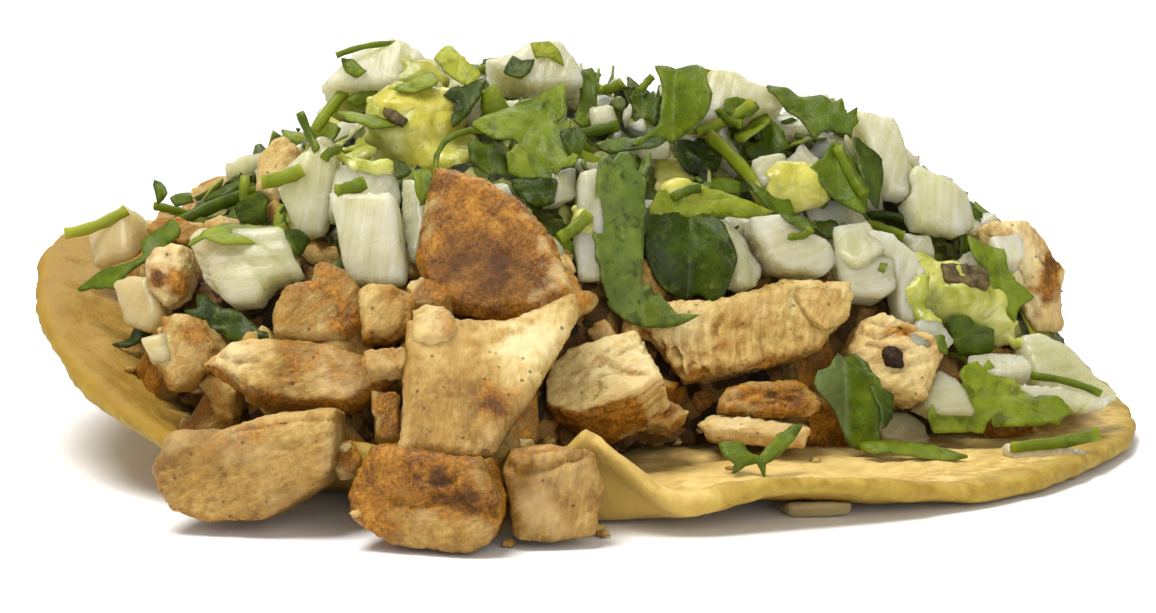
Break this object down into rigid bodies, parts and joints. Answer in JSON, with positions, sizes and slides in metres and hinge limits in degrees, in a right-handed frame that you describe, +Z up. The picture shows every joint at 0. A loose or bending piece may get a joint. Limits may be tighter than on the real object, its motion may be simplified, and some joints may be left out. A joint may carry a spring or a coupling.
{
  "type": "taco",
  "caption": "Open street taco: a soft corn tortilla heaped with chopped grilled chicken, diced white onion, cilantro leaves and green salsa.",
  "frame": {"origin": "on the flat underside of the tortilla, below the middle of the heap", "axes": "+X to the right along the heap, +Y to the back, +Z up; the front, where chicken has slid over the rim, faces -Y"},
  "size_m": [0.1228, 0.1299, 0.0444],
  "materials": {
    "tortilla": "soft golden corn dough, dry and finely speckled",
    "chicken": "grilled chicken: moist cream cut faces, browned and peppered outer faces",
    "onion": "raw white onion, wet and slightly translucent",
    "salsa": "creamy yellow-green salsa, glossy",
    "cilantro": "fresh cut leaf, satin",
    "topping": "heap of small diced onion, chopped cilantro and salsa, moist"
  },
  "bodies": {
    "root": {"tortilla": "tortilla", "chicken_filling": "chicken", "chicken_seared": "chicken", "chicken_slab": "chicken", "chicken_block": "chicken", "chicken_fibrous": "chicken", "chicken_nub": "chicken", "chicken_sliver": "chicken", "chicken_left_front": "chicken", "chicken_roll": "chicken", "chicken_notched": "chicken", "chicken_speckled": "chicken", "chicken_rough": "chicken", "chicken_spilled": "chicken", "chicken_spilled_cube": "chicken", "chicken_wrinkled": "chicken", "chicken_peppered": "chicken", "chicken_far_right": "chicken", "chicken_behind_left": "chicken", "chicken_back_slab": "chicken", "chicken_back_block": "chicken", "onion_big_left": "onion", "onion_cube": "onion", "onion_upper_left": "onion", "onion_summit_left": "onion", "onion_summit_middle": "onion", "onion_sliver": "onion", "onion_top_right": "onion", "onion_white_right": "onion", "onion_right_middle": "onion", "onion_curved": "onion", "onion_top_far_right": "onion", "onion_shoulder": "onion", "onion_right_large": "onion", "onion_right_low": "onion", "onion_left_top": "onion", "onion_left_low": "onion", "onion_under_rim": "onion", "onion_back_left": "onion", "onion_back_right": "onion", "salsa_crown": "salsa", "salsa_middle_right": "salsa", "salsa_right": "salsa", "cilantro_long": "cilantro", "cilantro_curl": "cilantro", "cilantro_dark": "cilantro", "cilantro_centre": "cilantro", "cilantro_dark_pair": "cilantro", "cilantro_top_right": "cilantro", "cilantro_oblong": "cilantro", "cilantro_right": "cilantro", "cilantro_fan": "cilantro", "cilantro_folded": "cilantro", "cilantro_sprig": "cilantro", "cilantro_dark_left": "cilantro", "cilantro_left_strip": "cilantro", "cilantro_yellow_green": "cilantro", "cilantro_back": "cilantro", "cilantro_back_right": "cilantro", "topping_heap": "topping"}
  },
  "joints": []
}
